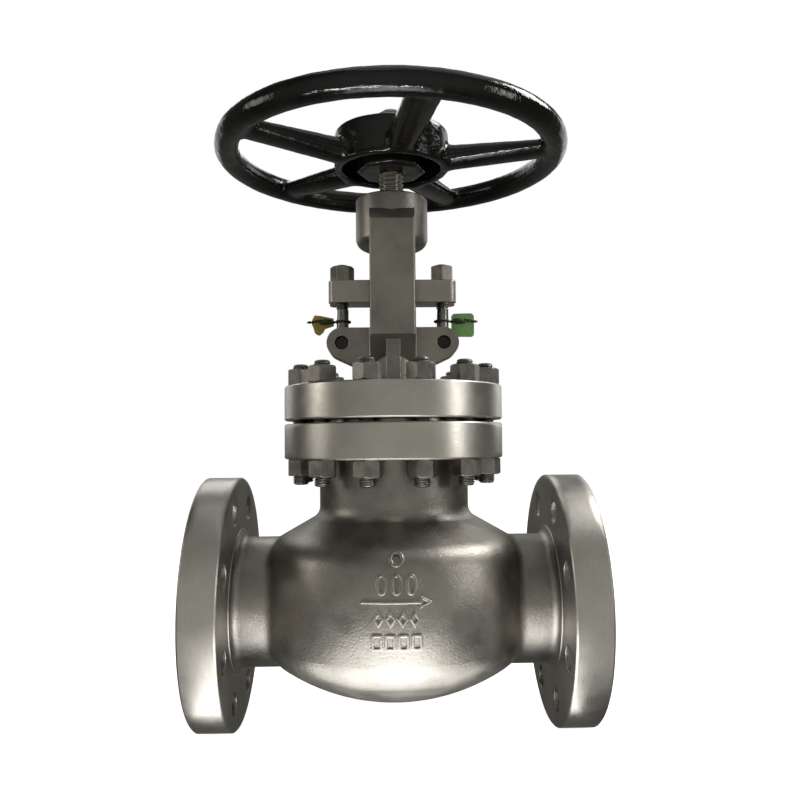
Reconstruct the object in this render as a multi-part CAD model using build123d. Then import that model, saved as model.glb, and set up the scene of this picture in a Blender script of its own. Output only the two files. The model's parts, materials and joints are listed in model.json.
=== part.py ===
from build123d import *
import os
from math import acos, atan2, cos, degrees, hypot, radians, sin, sqrt, tan

# A four-inch class 600 globe valve: flanged cast body, bolted bonnet with an outside yoke, rising
# stem and handwheel. Millimetres. +X is the way the flow goes and +Z runs up the stem. Every piece
# is modelled about the stem axis, with the pipe axis at height 0. On writing, all of them move
# half the face-to-face length along +X, so the origin is the centre of the inlet's raised face.

# Pipe connection
FACE_TO_FACE = 432
PORT_R = 51
PORT_LENGTH = 60
CORE_R = 55
CORE_END = 115
PIPE_NECK_R = 70.5
FLANGE_R = 136.5
FLANGE_THICK = 38
RAISED_FACE_R = 78.5
RAISED_FACE_HIGH = 7
HUB_FILLET = 8
HUB_STEP_R = 79
HUB_STEP = 1
PORT_BOLT_CIRCLE_R = 108
PORT_BOLTS = 8
PORT_BOLT_HOLE_R = 13
EDGE_BREAK = 1.5

# Belly of the body, a shape turned about the stem axis
WALL = 17
BELLY_R = 147.5
BELLY_BOTTOM = -103
DISH_R = 220
LOW_KNUCKLE_R = 40
SIDE_R = 200
HIGH_KNUCKLE_R = 35
SHOULDER_POINT = (130, 70)
SHOULDER_SLOPE = 29.4
NECK_R = 83
NECK_FILLET = 14
CREASE_FILLET = 7

# Seat wall across the belly
SEAT_WALL = 14
SEAT_WALL_Z = 5
SEAT_WALL_ROUTE = [(-115, 70), (-74, SEAT_WALL_Z), (74, SEAT_WALL_Z), (115, -70)]
SEAT_WALL_BEND_R = 16
SEAT_BOSS_R = 70
SEAT_HOLE_R = 58
SEAT_BORE_R = 50
SEAT_LIP_R = 64
SEAT_LIP_HIGH = 6
SEAT_CONE = 5

# Bonnet joint
JOINT_FLANGE_R = 122
BODY_FLANGE_BOTTOM = 157.3
BODY_FLANGE_TOP = 195.5
BONNET_FLANGE_BOTTOM = 199.5
BONNET_FLANGE_TOP = 237.3
RECESS_R = 84.5
RECESS_DEPTH = 8
GASKET_THICK = 4
GASKET_FILLER_R = (70, 80)
STUDS = 12
STUD_CIRCLE_R = 105
STUD_R = 9
STUD_HOLE_R = 9.6
STUD_BOTTOM = 129.5
STUD_TOP = 261
STUD_NUT_FLATS = 27
STUD_NUT_HIGH = 18
NUT_TURN_STEP = 23

# Bonnet neck, ears and yoke
BONNET_NECK_R = 33
BONNET_NECK_TOP = 303
BONNET_NECK_FLARE = 16
STUFFING_R = 22
EAR_X = 57
EAR_Z = 286
EAR_R = 17
EAR_HALF_WIDTH = 20
EAR_SLOPE = 25
EAR_SLOT = 15
EAR_SLOT_START = 41
EAR_HOLE_R = 7.7
ARM_WIDTH = 50
ARM_OUT = 50
ARM_IN = 32
ARM_ROOT = (28, 264)
ARM_FACE_LOW = 292
ARM_FACE_TOP = 418
ARM_TOP = (40, 432)
ARM_EDGE = 3
RIB_WIDTH = 15
RIB_FOOT = 62
RIB_HEAD = (45, 288)
YOKE_BOSS_R = 41
YOKE_BOSS_BOTTOM = 395
YOKE_BOSS_TOP = 452
YOKE_BOSS_CORNER = 12
YOKE_BORE_R = 21
YOKE_NUT_BOTTOM = 392
YOKE_NUT_LIP_R = 26
YOKE_NUT_LIP = 4
SET_SCREW_R = 4
SET_SCREW_Z = 424

# Stem and disc
STEM_R = 14
STEM_LIFT = 30
RUNNING_GAP = 0.15
FIT_GAP = 0.05
DISC_R = 60
DISC_LOW = 10
DISC_BODY_TOP = 42
DISC_BOSS_R = 34
DISC_POCKET_R = 27
DISC_POCKET_FLOOR = 28
DISC_BOSS_TOP = 60
THRUST_PLATE = 4
STEM_HEAD_R = 20
STEM_HEAD = 10
COLLAR_HIGH = 12
BUSHING_HIGH = 22
SPANNER_SLOT = 6

# Packing and gland
PACKING_WASHER = 5
PACKING_RINGS = 7
PACKING_RING_HIGH = 8
FOLLOWER_LIP_R = 25
FOLLOWER_LIP = 8
GLAND_BOTTOM = 331.5
GLAND_TOP = 357
GLAND_HALF_LENGTH = 72
GLAND_HALF_WIDTH = 18
GLAND_CORNER = 9
GLAND_CENTRE_R = 26
EYEBOLT_R = 7
EYEBOLT_TOP = 377
EYE_R = 14
EYE_THICK = 14.6
PIN_R = 7.5
PIN_HALF_LENGTH = 16
GLAND_NUT_FLATS = 24
GLAND_NUT_HIGH = 18
GLAND_NUT_TURN = {-1: 8, 1: 24}

# Handwheel
WHEEL_R = 200
RIM_R = 14.3
RIM_Z = 506
DRUM_R = 66
DRUM_WALL = 10
DRUM_BOTTOM = 485.5
DRUM_TOP = 530
WEB_BOTTOM = 516
WEB_TOP = 526
HUB_FLATS = 74
HUB_BOTTOM = 483
HUB_TOP = 528
HUB_BORE_R = 12
SPOKES = 5
SPOKE_PHASE = -79.6
SPOKE_INNER = (60, 499, 17, 14.5)
SPOKE_OUTER = (186, 505, 20, 8.5)
KEY_WIDTH = 8
KEY_HIGH = 7
KEY_LENGTH = 30
KEY_BOTTOM = 488
WHEEL_WASHER_R = 22
WHEEL_WASHER = 4
WHEEL_NUT_FLATS = 36
WHEEL_NUT_HIGH = 19
STEM_TOP = 556

# Raised foundry marks on the front of the belly
MARK_HIGH = 2.2
ARROW_LENGTH = 67
ARROW_LINE = 2.4
ARROW_HEAD = (11, 5.5)
ARROW_Z = 25

# Seal tags on the eyebolts
TAG_WIRE_R = 1.3
TAG_WIRE_Z = 312
TAG_WIRE_END = 97
TAG_THICK = 1.2

FLANGE_FRONT = FACE_TO_FACE / 2 - RAISED_FACE_HIGH
FLANGE_BACK = FLANGE_FRONT - FLANGE_THICK
SEAT_WALL_TOP = SEAT_WALL_Z + SEAT_WALL / 2
SEAT_TOP = SEAT_WALL_TOP + SEAT_LIP_HIGH
RECESS_FLOOR = BODY_FLANGE_TOP - RECESS_DEPTH
BONNET_BOTTOM = RECESS_FLOOR + GASKET_THICK
BUSHING_TOP = BONNET_BOTTOM + BUSHING_HIGH
PACKING_BOTTOM = BUSHING_TOP + PACKING_WASHER
PACKING_TOP = PACKING_BOTTOM + PACKING_RINGS * PACKING_RING_HIGH
STEM_HEAD_BOTTOM = DISC_POCKET_FLOOR + THRUST_PLATE + FIT_GAP
DISC_NUT_BOTTOM = STEM_HEAD_BOTTOM + STEM_HEAD + FIT_GAP
COLLAR_TOP = BONNET_BOTTOM - STEM_LIFT - 2 * FIT_GAP


def turned(points, axis=Axis.Z):
    """Solid of revolution of a closed outline given as (radius, height), or (x, radius)."""
    return revolve(Plane.XZ * make_face(Polyline(*points, close=True)), axis)


def tube(outer_r, inner_r, bottom, top):
    return turned([(inner_r, bottom), (outer_r, bottom), (outer_r, top), (inner_r, top)])


def rod(radius, bottom, top, bevel):
    """Round bar along Z with bevelled ends."""
    return turned([
        (0, bottom), (radius - bevel, bottom), (radius, bottom + bevel),
        (radius, top - bevel), (radius - bevel, top), (0, top),
    ])


def hex_nut(flats, height, hole_r, turn=0):
    """Hexagon nut standing on height 0, its corners cut by a 30 degree cone at both ends."""
    corner_r = flats / 2 / cos(radians(30))
    face_r = flats / 2 * 0.97
    cut = (corner_r - face_r) * tan(radians(30))
    prism = extrude(RegularPolygon(flats / 2, 6, major_radius=False), height)
    envelope = turned([
        (hole_r, 0), (face_r, 0), (corner_r, cut),
        (corner_r, height - cut), (face_r, height), (hole_r, height),
    ])
    return Rot(0, 0, turn) * (prism & envelope)


def knuckle_centre(dish, side, knuckle_r):
    """Centre of the arc that joins the dish and the side, each given as (x, z, radius)."""
    dish_x, dish_z, dish_r = dish
    side_x, side_z, side_r = side
    apart = hypot(side_x - dish_x, side_z - dish_z)
    along_x = (side_x - dish_x) / apart
    along_z = (side_z - dish_z) / apart
    dish_reach = dish_r - knuckle_r
    side_reach = side_r - knuckle_r
    along = (dish_reach ** 2 - side_reach ** 2 + apart ** 2) / (2 * apart)
    across = sqrt(dish_reach ** 2 - along ** 2)
    return dish_x + along * along_x - across * along_z, dish_z + along * along_z + across * along_x


def belly_solid(inset, top):
    """The belly and its neck, filled, with the surface moved inwards by inset."""
    slope = radians(SHOULDER_SLOPE)
    dish_z = BELLY_BOTTOM + DISH_R
    side_x = BELLY_R - SIDE_R
    low_x, low_z = knuckle_centre((0, dish_z, DISH_R), (side_x, 0, SIDE_R), LOW_KNUCKLE_R)
    dish_angle = degrees(atan2(low_z - dish_z, low_x))
    side_low = degrees(atan2(low_z, low_x - side_x))
    shoulder_reach = SHOULDER_POINT[0] * sin(slope) + SHOULDER_POINT[1] * cos(slope)
    side_reach = SIDE_R - HIGH_KNUCKLE_R
    across = (shoulder_reach - HIGH_KNUCKLE_R - side_x * sin(slope)) / side_reach
    side_high = 90 - SHOULDER_SLOPE - degrees(acos(across))
    high_x = side_x + side_reach * cos(radians(side_high))
    high_z = side_reach * sin(radians(side_high))
    neck_r = NECK_R - inset
    fillet_r = NECK_FILLET + inset
    fillet_x = neck_r + fillet_r
    corner_z = (shoulder_reach - inset - neck_r * sin(slope)) / cos(slope)
    fillet_z = corner_z + fillet_r * (1 - sin(slope)) / cos(slope)

    dish = CenterArc((0, dish_z), DISH_R - inset, -90, 90 + dish_angle)
    low = CenterArc((low_x, low_z), LOW_KNUCKLE_R - inset, dish_angle, side_low - dish_angle)
    side = CenterArc((side_x, 0), SIDE_R - inset, side_low, side_high - side_low)
    high = CenterArc((high_x, high_z), HIGH_KNUCKLE_R - inset, side_high, 90 - SHOULDER_SLOPE - side_high)
    throat = CenterArc((fillet_x, fillet_z), fillet_r, 270 - SHOULDER_SLOPE, SHOULDER_SLOPE - 90)
    outline = [
        dish, low, side, high, Line(high @ 1, throat @ 0), throat,
        Line(throat @ 1, (neck_r, top)), Line((neck_r, top), (0, top)), Line((0, top), dish @ 0),
    ]
    return revolve(Plane.XZ * make_face(outline), Axis.Z)


def port_end(side):
    """Pipe neck, hub fillet, flange and raised face of one end; side is -1 inlet or +1 outlet."""
    fillet_x = FLANGE_BACK - HUB_STEP - HUB_FILLET
    hub_r = PIPE_NECK_R + HUB_FILLET
    face_x = FACE_TO_FACE / 2
    hub = CenterArc((fillet_x, hub_r), HUB_FILLET, -90, 90)
    rest = Polyline(
        hub @ 1, (FLANGE_BACK - HUB_STEP, HUB_STEP_R), (FLANGE_BACK, HUB_STEP_R),
        (FLANGE_BACK, FLANGE_R - EDGE_BREAK), (FLANGE_BACK + EDGE_BREAK, FLANGE_R),
        (FLANGE_FRONT - EDGE_BREAK, FLANGE_R), (FLANGE_FRONT, FLANGE_R - EDGE_BREAK),
        (FLANGE_FRONT, RAISED_FACE_R), (face_x - EDGE_BREAK / 2, RAISED_FACE_R),
        (face_x, RAISED_FACE_R - EDGE_BREAK / 2), (face_x, 0), (0, 0), (0, PIPE_NECK_R), hub @ 0,
    )
    end = revolve(Plane.XZ * make_face([hub, rest]), Axis.X)
    holes = [
        Pos(FLANGE_BACK + FLANGE_THICK / 2, 0, 0) * Rot(0, 90, 0) * spot
        * Cylinder(PORT_BOLT_HOLE_R, 2 * FLANGE_THICK)
        for spot in PolarLocations(PORT_BOLT_CIRCLE_R, PORT_BOLTS, 180 / PORT_BOLTS)
    ]
    end -= holes
    return end if side > 0 else mirror(end, Plane.YZ)


def port_hole(side):
    """The machined port and the wider cored passage behind it, as a solid to take away."""
    face_x = FACE_TO_FACE / 2
    hole = turned([
        (CORE_END, 0), (CORE_END, CORE_R), (face_x - PORT_LENGTH, CORE_R),
        (face_x - PORT_LENGTH, PORT_R), (face_x + 1, PORT_R), (face_x + 1, 0),
    ], Axis.X)
    return hole if side > 0 else mirror(hole, Plane.YZ)


def bonnet_joint_flange(radius, bottom, top):
    return turned([
        (0, bottom), (radius - EDGE_BREAK, bottom), (radius, bottom + EDGE_BREAK),
        (radius, top - EDGE_BREAK), (radius - EDGE_BREAK, top), (0, top),
    ])


def stud_spots():
    return PolarLocations(STUD_CIRCLE_R, STUDS, 180 / STUDS)


def stud_holes(bottom, top):
    high = top - bottom + 2
    return [spot * Pos(0, 0, (bottom + top) / 2) * Cylinder(STUD_HOLE_R, high) for spot in stud_spots()]


def seat_wall():
    """The S-shaped wall between the inlet side and the outlet side, with a boss for the seat."""
    route = FilletPolyline(*SEAT_WALL_ROUTE, radius=SEAT_WALL_BEND_R)
    slab = extrude(Plane.XZ * trace(route, SEAT_WALL), BELLY_R, both=True)
    wall_bottom = SEAT_WALL_Z - SEAT_WALL / 2
    boss = tube(SEAT_BOSS_R, 0, wall_bottom, SEAT_WALL_TOP)
    return slab + boss - tube(SEAT_HOLE_R, 0, wall_bottom - 1, SEAT_WALL_TOP + 1)


def arrow_mark():
    length, half = ARROW_HEAD
    shaft = Pos(-length / 2, 0) * Rectangle(ARROW_LENGTH - length, ARROW_LINE)
    head = Polygon((0, -half), (length, 0), (0, half), align=None)
    eye = Polygon((2, 3 - half), (length - 4.5, 0), (2, half - 3), align=None)
    return shaft + Pos(ARROW_LENGTH / 2 - length, 0) * (head - eye)


def foundry_marks():
    """Flow arrow and plain raised shapes, as outlines on the plane of the stem and pipe axes."""
    lozenge = Polygon((-4.8, 0), (0, -7.5), (4.8, 0), (0, 7.5), align=None)
    rows = [
        (64, 1, 0, Circle(7) - Circle(4.4)),
        (41, 3, 14.2, Ellipse(5.4, 9.4) - Ellipse(3, 7)),
        (9.5, 4, 11.6, lozenge - scale(lozenge, 0.5)),
        (-12, 4, 12.6, RectangleRounded(10.4, 15, 2) - RectangleRounded(5.6, 10.4, 1)),
    ]
    marks = [Pos(0, ARROW_Z) * arrow_mark()]
    for height, count, pitch, shape in rows:
        for index in range(count):
            marks.append(Pos((index - (count - 1) / 2) * pitch, height) * shape)
    return marks


def body():
    casting = belly_solid(0, BODY_FLANGE_BOTTOM) + port_end(-1) + port_end(1)
    creases = [
        edge for edge in casting.edges()
        if 110 < abs(edge.center().X) < 145 and hypot(edge.center().Y, edge.center().Z) < PIPE_NECK_R
    ]
    casting = fillet(creases, CREASE_FILLET)
    skin = belly_solid(-MARK_HIGH, BODY_FLANGE_BOTTOM)
    for mark in foundry_marks():
        casting += extrude(Plane.XZ * mark, BELLY_R + MARK_HIGH) & skin
    casting += bonnet_joint_flange(JOINT_FLANGE_R, BODY_FLANGE_BOTTOM, BODY_FLANGE_TOP)
    cavity = belly_solid(WALL, BODY_FLANGE_TOP + 1) - seat_wall()
    casting -= cavity
    casting -= [port_hole(-1), port_hole(1)]
    casting -= tube(RECESS_R, 0, RECESS_FLOOR, BODY_FLANGE_TOP + 1)
    return casting - stud_holes(BODY_FLANGE_BOTTOM, BODY_FLANGE_TOP)


def seat_ring():
    return turned([
        (SEAT_BORE_R, SEAT_WALL_Z - SEAT_WALL / 2), (SEAT_HOLE_R - FIT_GAP, SEAT_WALL_Z - SEAT_WALL / 2),
        (SEAT_HOLE_R - FIT_GAP, SEAT_WALL_TOP), (SEAT_LIP_R, SEAT_WALL_TOP), (SEAT_LIP_R, SEAT_TOP),
        (SEAT_BORE_R + SEAT_CONE, SEAT_TOP), (SEAT_BORE_R, SEAT_TOP - SEAT_CONE),
    ])


def bonnet_gasket():
    """Wound sealing ring: the filler band stands a little inside the metal rings' height."""
    inner, outer = GASKET_FILLER_R
    ring = tube(RECESS_R - 0.5, NECK_R - WALL + 1, RECESS_FLOOR, BONNET_BOTTOM)
    groove = tube(outer, inner, BONNET_BOTTOM - 0.4, BONNET_BOTTOM)
    return ring - groove


def neck_solid():
    """Bonnet flange, the male face under it and the flared neck over it."""
    flare_r = BONNET_NECK_R + BONNET_NECK_FLARE
    flare = CenterArc(
        (flare_r, BONNET_FLANGE_TOP + BONNET_NECK_FLARE), BONNET_NECK_FLARE, 270, -90,
    )
    outline = [
        flare, Line(flare @ 1, (BONNET_NECK_R, BONNET_NECK_TOP)),
        Polyline(
            (BONNET_NECK_R, BONNET_NECK_TOP), (0, BONNET_NECK_TOP), (0, BONNET_FLANGE_TOP - 1),
            (flare_r, BONNET_FLANGE_TOP - 1), flare @ 0,
        ),
    ]
    neck = revolve(Plane.XZ * make_face(outline), Axis.Z)
    flange = bonnet_joint_flange(JOINT_FLANGE_R, BONNET_FLANGE_BOTTOM, BONNET_FLANGE_TOP)
    return neck + flange + tube(RECESS_R - 0.5, 0, BONNET_BOTTOM, BONNET_FLANGE_BOTTOM)


def ears():
    """Bar across the neck that carries both eyebolts, slotted at each end."""
    slope = radians(EAR_SLOPE)
    low_x = EAR_X + EAR_R * sin(slope)
    low_z = EAR_Z - EAR_R * cos(slope)
    root_z = low_z - low_x * tan(slope)
    half = Polygon(
        (0, EAR_Z + EAR_R), (EAR_X, EAR_Z + EAR_R), (EAR_X, EAR_Z), (low_x, low_z), (0, root_z), align=None,
    ) + Pos(EAR_X, EAR_Z) * Circle(EAR_R)
    bar = extrude(Plane.XZ * half, EAR_HALF_WIDTH, both=True)
    slot_end = EAR_X + EAR_R + 1
    slot_x = (EAR_SLOT_START + slot_end) / 2
    bar -= Pos(slot_x, 0, EAR_Z) * Box(slot_end - EAR_SLOT_START, EAR_SLOT, 4 * EAR_R)
    bar -= Pos(EAR_X, 0, EAR_Z) * Rot(90, 0, 0) * Cylinder(EAR_HOLE_R, 3 * EAR_HALF_WIDTH)
    return bar + mirror(bar, Plane.YZ)


def yoke_arm(side):
    """One upright of the yoke with the rib under it; side is -1 front or +1 back."""
    root_d, root_z = ARM_ROOT
    top_d, top_z = ARM_TOP
    upright = Polygon(
        (root_d, root_z), (ARM_OUT, ARM_FACE_LOW), (ARM_OUT, ARM_FACE_TOP), (top_d, top_z),
        (root_d, top_z), (root_d, YOKE_BOSS_BOTTOM + 5), (ARM_IN, YOKE_BOSS_BOTTOM + 5),
        (ARM_IN, BONNET_NECK_TOP), (root_d, BONNET_NECK_TOP), align=None,
    )
    arm = extrude(Plane.YZ * upright, ARM_WIDTH / 2, both=True)
    long_edges = arm.edges().filter_by(Axis.Z).group_by(Axis.Y)[-1]
    arm = fillet(long_edges, ARM_EDGE)
    head_d, head_z = RIB_HEAD
    web = Polygon(
        (root_d, BONNET_FLANGE_TOP - 1), (RIB_FOOT, BONNET_FLANGE_TOP - 1), (head_d, head_z),
        (root_d, head_z), align=None,
    )
    arm += extrude(Plane.YZ * web, RIB_WIDTH / 2, both=True)
    return arm if side > 0 else mirror(arm, Plane.XZ)


def yoke_boss():
    corner = CenterArc(
        (YOKE_BOSS_R - YOKE_BOSS_CORNER, YOKE_BOSS_BOTTOM + YOKE_BOSS_CORNER), YOKE_BOSS_CORNER, -90, 90,
    )
    rest = Polyline(
        corner @ 1, (YOKE_BOSS_R, YOKE_BOSS_TOP - EDGE_BREAK), (YOKE_BOSS_R - EDGE_BREAK, YOKE_BOSS_TOP),
        (0, YOKE_BOSS_TOP), (0, YOKE_BOSS_BOTTOM), corner @ 0,
    )
    return revolve(Plane.XZ * make_face([corner, rest]), Axis.Z)


def set_screw_hole(radius):
    start, end = YOKE_BORE_R - radius, YOKE_BOSS_R + radius
    return Pos((start + end) / 2, 0, SET_SCREW_Z) * Rot(0, 90, 0) * Cylinder(radius, end - start)


def bonnet():
    casting = neck_solid() + ears() + yoke_arm(-1) + yoke_arm(1) + yoke_boss()
    casting -= tube(STUFFING_R, 0, BONNET_BOTTOM - 1, BONNET_NECK_TOP + 1)
    casting -= tube(YOKE_BORE_R, 0, YOKE_BOSS_BOTTOM - 1, YOKE_BOSS_TOP + 1)
    casting -= set_screw_hole(SET_SCREW_R)
    return casting - stud_holes(BONNET_FLANGE_BOTTOM, BONNET_FLANGE_TOP)


def bonnet_studs():
    return [spot * rod(STUD_R, STUD_BOTTOM, STUD_TOP, EDGE_BREAK) for spot in stud_spots()]


def bonnet_nuts(bottom):
    """Ring of stud nuts whose flats lie every way, as they were tightened."""
    return [
        spot * Pos(0, 0, bottom) * hex_nut(STUD_NUT_FLATS, STUD_NUT_HIGH, STUD_R + FIT_GAP, NUT_TURN_STEP * index)
        for index, spot in enumerate(stud_spots())
    ]


def backseat_bushing():
    return tube(STUFFING_R - FIT_GAP, STEM_R + RUNNING_GAP, BONNET_BOTTOM, BUSHING_TOP)


def packing_washer():
    return tube(STUFFING_R - RUNNING_GAP, STEM_R + RUNNING_GAP, BUSHING_TOP, PACKING_BOTTOM)


def packing_rings():
    """Square-section rings, each with a slightly narrower waist so that the joints show."""
    rings = []
    for index in range(PACKING_RINGS):
        bottom = PACKING_BOTTOM + index * PACKING_RING_HIGH
        rings.append(tube(
            STUFFING_R - RUNNING_GAP, STEM_R + RUNNING_GAP, bottom, bottom + PACKING_RING_HIGH - FIT_GAP,
        ))
    return rings


def gland_follower():
    bottom = PACKING_TOP + FIT_GAP
    return turned([
        (STEM_R + 2 * RUNNING_GAP, bottom), (STUFFING_R - 2 * RUNNING_GAP, bottom),
        (STUFFING_R - 2 * RUNNING_GAP, GLAND_BOTTOM - FOLLOWER_LIP),
        (FOLLOWER_LIP_R, GLAND_BOTTOM - FOLLOWER_LIP), (FOLLOWER_LIP_R, GLAND_BOTTOM),
        (STEM_R + 2 * RUNNING_GAP, GLAND_BOTTOM),
    ])


def gland_flange():
    """Oval plate that bears on the follower, open at both ends for the eyebolts."""
    plan = RectangleRounded(2 * GLAND_HALF_LENGTH, 2 * GLAND_HALF_WIDTH, GLAND_CORNER)
    plan += Circle(GLAND_CENTRE_R)
    plan -= Circle(STEM_R + 1.5)
    slot_r = EYEBOLT_R + 1
    slot_length = GLAND_HALF_LENGTH - EAR_X + 1
    for side in (-1, 1):
        plan -= Pos(side * EAR_X, 0) * Circle(slot_r)
        plan -= Pos(side * (EAR_X + slot_length / 2), 0) * Rectangle(slot_length, 2 * slot_r)
    plate = Pos(0, 0, GLAND_BOTTOM) * extrude(plan, GLAND_TOP - GLAND_BOTTOM)
    rims = plate.edges().group_by(Axis.Z)
    return chamfer(rims[0] + rims[-1], EDGE_BREAK / 2)


def eyebolt(side):
    eye = Pos(0, 0, EAR_Z) * Rot(90, 0, 0) * Cylinder(EYE_R, EYE_THICK)
    bolt = eye + rod(EYEBOLT_R, EAR_Z, EYEBOLT_TOP, EDGE_BREAK)
    bolt -= Pos(0, 0, EAR_Z) * Rot(90, 0, 0) * Cylinder(EAR_HOLE_R, 2 * EYE_THICK)
    return Pos(side * EAR_X, 0, 0) * bolt


def eyebolt_pin(side):
    pin = rod(PIN_R, -PIN_HALF_LENGTH, PIN_HALF_LENGTH, EDGE_BREAK / 2)
    return Pos(side * EAR_X, 0, EAR_Z) * Rot(90, 0, 0) * pin


def gland_nut(side):
    nut = hex_nut(GLAND_NUT_FLATS, GLAND_NUT_HIGH, EYEBOLT_R + RUNNING_GAP, GLAND_NUT_TURN[side])
    return Pos(side * EAR_X, 0, GLAND_TOP + FIT_GAP) * nut


def yoke_nut():
    """Bronze nut for the stem, held in the yoke; its bore stands at the thread's major diameter."""
    nut = tube(YOKE_BORE_R - FIT_GAP, STEM_R + RUNNING_GAP, YOKE_NUT_BOTTOM, YOKE_BOSS_TOP)
    nut += tube(YOKE_NUT_LIP_R, STEM_R + RUNNING_GAP, YOKE_BOSS_TOP, YOKE_BOSS_TOP + YOKE_NUT_LIP)
    return nut


def yoke_nut_screw():
    """Set screw through the side of the yoke boss, with a hexagon socket at its outer end."""
    length = YOKE_BOSS_R - YOKE_BORE_R - 2
    screw = rod(SET_SCREW_R - FIT_GAP, 0, length, 0.6)
    screw -= Pos(0, 0, length - 4) * extrude(RegularPolygon(2, 6, major_radius=False), 5)
    return Pos(YOKE_BORE_R + FIT_GAP, 0, SET_SCREW_Z) * Rot(0, 90, 0) * screw


def disc():
    """Plug disc with a 45 degree seating cone and a pocket that holds the stem's head."""
    cone_low_z = SEAT_TOP - SEAT_CONE + 2 * FIT_GAP
    drop = cone_low_z - DISC_LOW
    return turned([
        (0, DISC_LOW), (SEAT_BORE_R - drop, DISC_LOW), (SEAT_BORE_R + SEAT_CONE + 2, SEAT_TOP + 2 + 2 * FIT_GAP),
        (DISC_R, SEAT_TOP + 2 + 2 * FIT_GAP), (DISC_R, DISC_BODY_TOP), (DISC_BOSS_R, DISC_BODY_TOP),
        (DISC_BOSS_R, DISC_BOSS_TOP), (DISC_POCKET_R, DISC_BOSS_TOP), (DISC_POCKET_R, DISC_POCKET_FLOOR),
        (0, DISC_POCKET_FLOOR),
    ])


def disc_thrust_plate():
    return tube(STEM_HEAD_R, 0, DISC_POCKET_FLOOR, DISC_POCKET_FLOOR + THRUST_PLATE)


def disc_nut():
    """Ring nut that closes the pocket over the stem's head, slotted for a spanner."""
    ring = tube(DISC_POCKET_R - FIT_GAP, STEM_R + 2 * RUNNING_GAP, DISC_NUT_BOTTOM, DISC_BOSS_TOP)
    slot = Pos(0, 0, DISC_BOSS_TOP) * Box(3 * DISC_POCKET_R, SPANNER_SLOT, SPANNER_SLOT)
    return ring - slot


def key_solid(gap):
    """The wheel key, or with a gap the seat that it lies in."""
    centre = (HUB_BORE_R, 0, KEY_BOTTOM + KEY_LENGTH / 2)
    return Pos(*centre) * Box(KEY_HIGH + 2 * gap, KEY_WIDTH + 2 * gap, KEY_LENGTH + 2 * gap)


def stem():
    collar_bottom = COLLAR_TOP - COLLAR_HIGH
    bar = turned([
        (0, STEM_HEAD_BOTTOM), (STEM_HEAD_R, STEM_HEAD_BOTTOM), (STEM_HEAD_R, STEM_HEAD_BOTTOM + STEM_HEAD),
        (STEM_R, STEM_HEAD_BOTTOM + STEM_HEAD), (STEM_R, collar_bottom), (STEM_HEAD_R, collar_bottom),
        (STEM_HEAD_R, COLLAR_TOP - EDGE_BREAK), (STEM_HEAD_R - EDGE_BREAK, COLLAR_TOP), (STEM_R, COLLAR_TOP),
        (STEM_R, HUB_BOTTOM), (HUB_BORE_R - FIT_GAP, HUB_BOTTOM), (HUB_BORE_R - FIT_GAP, STEM_TOP - EDGE_BREAK),
        (HUB_BORE_R - EDGE_BREAK, STEM_TOP), (0, STEM_TOP),
    ])
    return bar - key_solid(FIT_GAP)


def spoke(angle):
    """One arm of the wheel, oval in section and tapering outwards."""
    inner_x, inner_z, inner_a, inner_b = SPOKE_INNER
    outer_x, outer_z, outer_a, outer_b = SPOKE_OUTER
    ends = [
        Plane(origin=(inner_x, 0, inner_z), x_dir=(0, 1, 0), z_dir=(1, 0, 0)) * Ellipse(inner_a, inner_b),
        Plane(origin=(outer_x, 0, outer_z), x_dir=(0, 1, 0), z_dir=(1, 0, 0)) * Ellipse(outer_a, outer_b),
    ]
    return Rot(0, 0, angle) * loft(ends)


def handwheel():
    rim = Pos(0, 0, RIM_Z) * Torus(WHEEL_R - RIM_R, RIM_R)
    drum = tube(DRUM_R, DRUM_R - DRUM_WALL, DRUM_BOTTOM, DRUM_TOP)
    web = tube(DRUM_R - DRUM_WALL / 2, 0, WEB_BOTTOM, WEB_TOP)
    hub = Pos(0, 0, HUB_BOTTOM) * extrude(
        RegularPolygon(HUB_FLATS / 2, 8, major_radius=False), WEB_TOP - HUB_BOTTOM,
    )
    top = tube(HUB_FLATS / 2 - 2, 0, WEB_TOP - 1, HUB_TOP)
    wheel = rim + drum + web + hub + top
    for index in range(SPOKES):
        wheel += spoke(SPOKE_PHASE + index * 360 / SPOKES)
    wheel -= tube(HUB_BORE_R, 0, HUB_BOTTOM - 1, HUB_TOP + 1)
    return wheel - key_solid(FIT_GAP)


def handwheel_washer():
    return tube(WHEEL_WASHER_R, HUB_BORE_R + FIT_GAP, HUB_TOP, HUB_TOP + WHEEL_WASHER)


def handwheel_nut():
    nut = hex_nut(WHEEL_NUT_FLATS, WHEEL_NUT_HIGH, HUB_BORE_R + FIT_GAP, 10)
    return Pos(0, 0, HUB_TOP + WHEEL_WASHER) * nut


def tag_wire(side):
    """Seal wire: a loop round the eyebolt over the ear, and its free end pointing outwards."""
    loop_r = EYEBOLT_R + TAG_WIRE_R + 0.2
    loop = Pos(side * EAR_X, 0, TAG_WIRE_Z) * Torus(loop_r, TAG_WIRE_R)
    length = TAG_WIRE_END - EAR_X - loop_r
    tail = Pos(side * (TAG_WIRE_END - length / 2), 0, TAG_WIRE_Z) * Rot(0, 90, 0) * Cylinder(TAG_WIRE_R, length)
    return loop + tail


def tag_green():
    plate = Rot(90, 0, 0) * extrude(RectangleRounded(26, 27, 4), TAG_THICK)
    return Pos(80.5, TAG_WIRE_R + TAG_THICK + FIT_GAP, 308) * plate


def tag_yellow():
    outline = Polygon((-13, 3), (-9, 12), (13, 8), (13, -1), (3, -4), (-3, -12), (-9, -9), align=None)
    plate = Rot(90, 0, 0) * extrude(outline, TAG_THICK)
    return Pos(-80, TAG_WIRE_R + TAG_THICK + FIT_GAP, 309) * plate


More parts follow.
